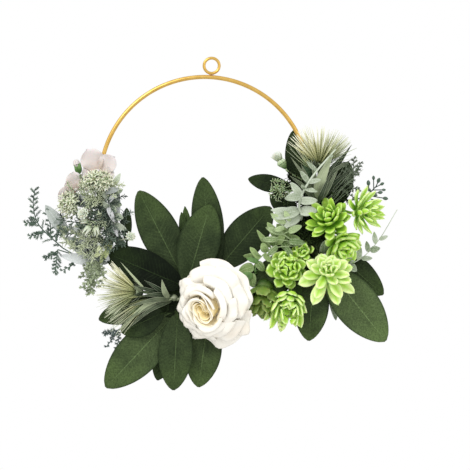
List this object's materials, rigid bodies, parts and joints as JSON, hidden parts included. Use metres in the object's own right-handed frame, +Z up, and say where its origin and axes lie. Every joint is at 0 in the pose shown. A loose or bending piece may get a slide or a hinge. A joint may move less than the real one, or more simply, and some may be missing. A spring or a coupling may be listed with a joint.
{
  "type": "floral hoop wreath",
  "caption": "Wall wreath: a thin round wire hoop with a hanging eye, its lower half dressed with leaves, a rose, proteas, succulents and eucalyptus sprays.",
  "frame": {"origin": "the hanging point: the highest point inside the hanging eye, on its wire, where a nail or hook bears", "axes": "+Z up; the wreath hangs in the XZ plane and faces -Y, with the wall on its +Y side; +X to the viewer's right"},
  "size_m": [0.4366, 0.0707, 0.3906],
  "materials": {
    "gold_wire": "satin gold-coloured paint on steel wire",
    "floral_tape": "matt waxed paper tape wound round the wire",
    "dark_leaf": "printed satin cloth with moulded veins",
    "rose_petal": "pressed cloth, creamy white with a warm centre",
    "calyx_green": "moulded green plastic",
    "protea_needle": "thin moulded cream-white plastic",
    "protea_bract": "moulded green plastic leaves",
    "succulent": "soft moulded plastic with paler edges",
    "dark_succulent": "soft moulded plastic, darker green",
    "eucalyptus": "moulded plastic with a pale bloom",
    "eucalyptus_yellow": "moulded yellow-green plastic",
    "cedar": "moulded dark green plastic",
    "frosted_sprig": "moulded plastic with pale flocking",
    "grey_sprig": "moulded blue-grey plastic",
    "floret": "moulded cream-green plastic",
    "umbel": "moulded pale green plastic",
    "blossom": "thin blush-white cloth",
    "button": "moulded pale green-white plastic",
    "seed": "moulded grey-green plastic"
  },
  "bodies": {
    "root": {"blossom_bud": "blossom", "blossom_side": "blossom", "blossom_top": "blossom", "button_flower_1": "button", "button_flower_2": "button", "cedar_frond_lower": "cedar", "cedar_frond_upper": "cedar", "eucalyptus_lower": "eucalyptus_yellow", "eucalyptus_outer": "eucalyptus", "eucalyptus_upper": "eucalyptus", "feathery_sprig": "frosted_sprig", "floret_cluster_side": "floret", "floret_cluster_top": "floret", "frosted_filler_left": "eucalyptus", "frosted_sprig": "frosted_sprig", "grey_sprig_left": "grey_sprig", "hanging_eye": "gold_wire", "hoop": "gold_wire", "leaf_back_1": "dark_leaf", "leaf_back_2": "dark_leaf", "leaf_back_3": "dark_leaf", "leaf_back_4": "dark_leaf", "leaf_back_5": "dark_leaf", "leaf_lower_1": "dark_leaf", "leaf_lower_2": "dark_leaf", "leaf_lower_3": "dark_leaf", "leaf_lower_4": "dark_leaf", "leaf_lower_5": "dark_leaf", "leaf_lower_6": "dark_leaf", "leaf_right_1": "dark_leaf", "leaf_right_2": "dark_leaf", "leaf_right_3": "dark_leaf", "leaf_side": "dark_leaf", "leaf_upper_1": "dark_leaf", "leaf_upper_2": "dark_leaf", "leaf_upper_3": "dark_leaf", "leaf_upper_4": "dark_leaf", "leaf_upper_5": "dark_leaf", "needle_spray_left": "frosted_sprig", "protea_left_bracts": "protea_bract", "protea_left_head": "protea_needle", "protea_right_bracts": "protea_bract", "protea_right_head": "protea_needle", "rose_bloom": "rose_petal", "rose_calyx": "calyx_green", "seed_sprig_right": "seed", "succulent_1": "succulent", "succulent_2": "succulent", "succulent_3": "succulent", "succulent_4": "succulent", "succulent_5": "succulent", "succulent_6": "succulent", "succulent_7": "dark_succulent", "tape_centre": "floral_tape", "tape_left": "floral_tape", "tape_right": "floral_tape", "thistle_right": "button", "tulip_florets": "button", "umbel_right": "umbel"}
  },
  "joints": []
}
